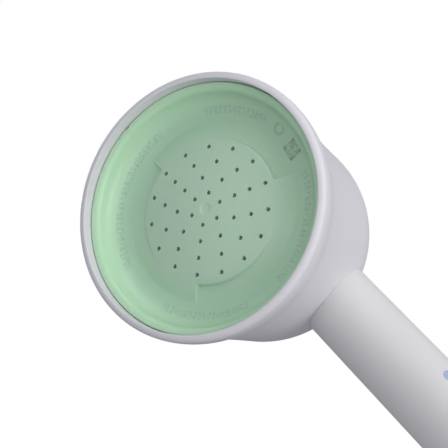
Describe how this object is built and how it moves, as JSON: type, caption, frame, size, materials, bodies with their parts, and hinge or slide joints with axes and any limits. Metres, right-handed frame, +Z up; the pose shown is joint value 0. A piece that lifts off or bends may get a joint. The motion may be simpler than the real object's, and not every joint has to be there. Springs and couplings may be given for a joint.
{
  "type": "handheld shower head",
  "caption": "Handheld filter shower head: bell-shaped head with a dished, drilled spray plate on a straight round handle that ends in a threaded hose inlet.",
  "frame": {"origin": "centre of the hose thread's end face, at the foot of the handle", "axes": "+Z up the handle's axis towards the head; the spray leaves towards -Y and 17.4 degrees below level; +X to the right as seen from the spray side"},
  "size_m": [0.083, 0.0833, 0.241],
  "materials": {
    "white_plastic": "moulded, satin gloss",
    "green_plastic": "moulded, slightly translucent, satin",
    "natural_plastic": "moulded, unpigmented",
    "clear_plastic": "clear, moulded",
    "potting_resin": "cast resin",
    "hollow_fibre": "bundled porous fibre",
    "blue_acetal": "moulded",
    "black_rubber": "moulded seal",
    "stainless_steel": "bright drawn"
  },
  "bodies": {
    "housing": {"head_shell": "white_plastic", "bayonet_ring": "natural_plastic", "support_grid": "natural_plastic", "potting_disc": "potting_resin", "fibre_bundle": "hollow_fibre", "cartridge_cup": "clear_plastic", "cartridge_o_ring": "black_rubber", "baffle_plate": "natural_plastic", "handle_tube": "white_plastic", "inlet_nipple": "white_plastic", "nipple_o_ring": "black_rubber", "water_tube": "clear_plastic", "tube_upper_seal": "black_rubber", "tube_lower_seal": "black_rubber", "inlet_strainer": "stainless_steel", "flow_regulator_body": "blue_acetal", "flow_regulator_ring": "black_rubber", "check_valve_cage": "blue_acetal", "check_valve_spring": "stainless_steel"},
    "plate": {"spray_plate": "green_plastic", "plate_o_ring": "black_rubber"},
    "poppet": {"check_valve_poppet": "natural_plastic", "poppet_seal": "black_rubber"}
  },
  "joints": [
    {"name": "spray_plate_twist", "type": "hinge", "parent": "housing", "child": "plate", "pos_m": [0, -0.05687, 0.19418], "axis": [0, -0.9542, -0.299], "range_deg": [0, 30]},
    {"name": "check_valve_slide", "type": "slide", "parent": "housing", "child": "poppet", "axis": [0, 0, 1], "range_m": [0, 0.0025], "stiffness_N_per_m": 60, "springref_m": -0.005, "deforming": ["check_valve_spring"]}
  ]
}
